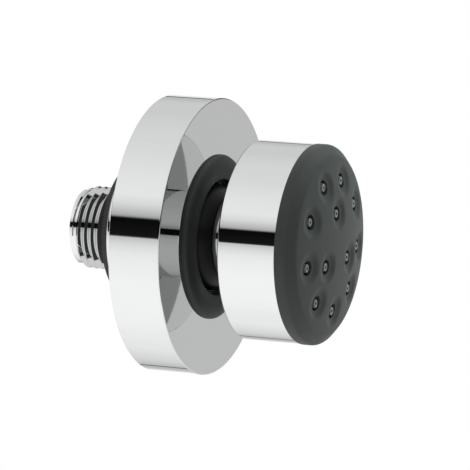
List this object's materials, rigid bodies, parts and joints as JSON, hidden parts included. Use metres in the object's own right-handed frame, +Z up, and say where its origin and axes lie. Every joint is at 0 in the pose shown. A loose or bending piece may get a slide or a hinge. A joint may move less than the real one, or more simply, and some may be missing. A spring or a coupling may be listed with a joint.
{
  "type": "shower body jet",
  "caption": "Wall-mounted body jet: round chromed cover plate, ball joint in a dark collar and a chromed drum head with a dark domed face of soft nozzles.",
  "frame": {"origin": "centre of the finished wall plane, which is the plane of the cover plate's rear rim", "axes": "-Y along the jet, out of the wall; +Y along the threaded inlet, into the wall; +Z up; +X to the right of someone who faces the jet"},
  "size_m": [0.07, 0.0702, 0.07],
  "materials": {
    "chrome": "polished",
    "dark_plastic": "fine matte",
    "ball_plastic": "smooth, half gloss",
    "inner_plastic": "moulded",
    "white_plastic": "smooth acetal",
    "silicone": "soft, matte",
    "black_rubber": "matte",
    "foam": "closed-cell foam",
    "spring_steel": "rolled spring steel",
    "brass": "machined"
  },
  "bodies": {
    "wall_side": {"inlet_body": "chrome", "inlet_washer": "black_rubber", "inlet_strainer": "white_plastic", "flow_limiter": "white_plastic", "limiter_ring": "black_rubber", "escutcheon": "chrome", "escutcheon_ring": "black_rubber", "wall_seal": "foam", "collar": "dark_plastic", "friction_ring": "white_plastic", "disc_spring_rear": "spring_steel", "disc_spring_front": "spring_steel"},
    "seat": {"ball_seat": "white_plastic", "seat_ring": "black_rubber", "ball_seal": "black_rubber"},
    "ball": {"swivel_ball": "ball_plastic"},
    "head": {"neck": "chrome", "neck_ring": "black_rubber", "head_shell": "chrome", "neck_gasket": "black_rubber", "water_chamber": "inner_plastic", "head_ring": "black_rubber", "head_nut": "brass", "diffuser_disc": "inner_plastic", "nozzle_mat": "silicone", "spray_face": "dark_plastic"}
  },
  "joints": [
    {"name": "swivel", "type": "hinge", "parent": "wall_side", "child": "seat", "pos_m": [0, -0.0087, 0], "axis": [0, 1, 0], "continuous": true},
    {"name": "tilt", "type": "hinge", "parent": "seat", "child": "ball", "pos_m": [0, -0.0087, 0], "axis": [1, 0, 0], "range_deg": [-18, 18]},
    {"name": "spin", "type": "hinge", "parent": "ball", "child": "head", "pos_m": [0, -0.0087, 0], "axis": [0, 1, 0], "continuous": true}
  ]
}
